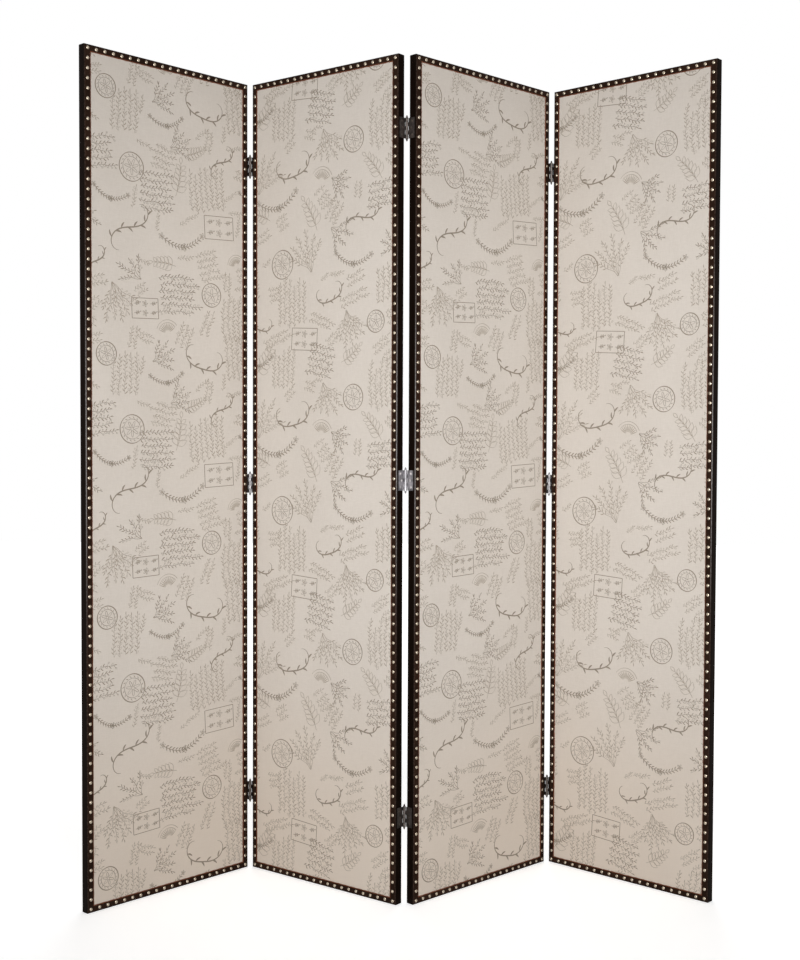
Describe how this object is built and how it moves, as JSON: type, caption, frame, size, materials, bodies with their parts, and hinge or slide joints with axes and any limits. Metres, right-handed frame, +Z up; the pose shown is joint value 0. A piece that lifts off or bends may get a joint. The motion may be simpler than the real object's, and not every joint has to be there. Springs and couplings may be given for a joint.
{
  "type": "folding screen",
  "caption": "Upholstered folding screen of hinged panels, with printed cloth faces, a dark leather edge and rows of domed nails, standing in a zig-zag.",
  "frame": {"origin": "middle of the outline on the floor", "axes": "+Z up, +X to the right as seen from the front, -Y towards the viewer in front"},
  "size_m": [1.5864, 0.4554, 2.134],
  "materials": {
    "timber": "planed softwood",
    "hardboard": "smooth hardboard",
    "printed_cloth": "plain weave with a grey-brown print",
    "edge_leather": "dark brown faux leather, semi-gloss",
    "nail_heads": "antique brass, polished domes",
    "hinge_steel": "pewter grey plating",
    "screw_steel": "bright plating"
  },
  "bodies": {
    "panel_1": {"panel_1_stiles": "timber", "panel_1_rails": "timber", "panel_1_skin_front": "hardboard", "panel_1_skin_back": "hardboard", "panel_1_fabric_front": "printed_cloth", "panel_1_fabric_back": "printed_cloth", "panel_1_edge_band": "edge_leather", "panel_1_nails_front": "nail_heads", "panel_1_nails_back": "nail_heads", "hinges_12_leaves_1": "hinge_steel", "hinges_12_screws_1": "screw_steel", "hinges_12_pins": "hinge_steel"},
    "panel_2": {"panel_2_stiles": "timber", "panel_2_rails": "timber", "panel_2_skin_front": "hardboard", "panel_2_skin_back": "hardboard", "panel_2_fabric_front": "printed_cloth", "panel_2_fabric_back": "printed_cloth", "panel_2_edge_band": "edge_leather", "panel_2_nails_front": "nail_heads", "panel_2_nails_back": "nail_heads", "hinges_12_leaves_2": "hinge_steel", "hinges_12_screws_2": "screw_steel", "hinges_23_leaves_2": "hinge_steel", "hinges_23_screws_2": "screw_steel", "hinges_23_pins": "hinge_steel"},
    "panel_3": {"panel_3_stiles": "timber", "panel_3_rails": "timber", "panel_3_skin_front": "hardboard", "panel_3_skin_back": "hardboard", "panel_3_fabric_front": "printed_cloth", "panel_3_fabric_back": "printed_cloth", "panel_3_edge_band": "edge_leather", "panel_3_nails_front": "nail_heads", "panel_3_nails_back": "nail_heads", "hinges_23_leaves_3": "hinge_steel", "hinges_23_screws_3": "screw_steel", "hinges_34_leaves_3": "hinge_steel", "hinges_34_screws_3": "screw_steel", "hinges_34_pins": "hinge_steel"},
    "panel_4": {"panel_4_stiles": "timber", "panel_4_rails": "timber", "panel_4_skin_front": "hardboard", "panel_4_skin_back": "hardboard", "panel_4_fabric_front": "printed_cloth", "panel_4_fabric_back": "printed_cloth", "panel_4_edge_band": "edge_leather", "panel_4_nails_front": "nail_heads", "panel_4_nails_back": "nail_heads", "hinges_34_leaves_4": "hinge_steel", "hinges_34_screws_4": "screw_steel"}
  },
  "joints": [
    {"name": "fold_12", "type": "hinge", "parent": "panel_1", "child": "panel_2", "pos_m": [-0.42928, 0.1486, 0], "axis": [0, 0, 1], "range_deg": [-95, 85]},
    {"name": "fold_23", "type": "hinge", "parent": "panel_2", "child": "panel_3", "pos_m": [0.00376, -0.13414, 0], "axis": [0, 0, -1], "range_deg": [-97.6, 82.4]},
    {"name": "fold_34", "type": "hinge", "parent": "panel_3", "child": "panel_4", "pos_m": [0.39085, 0.20883, 0], "axis": [0, 0, 1], "range_deg": [-93.1, 86.9]}
  ]
}
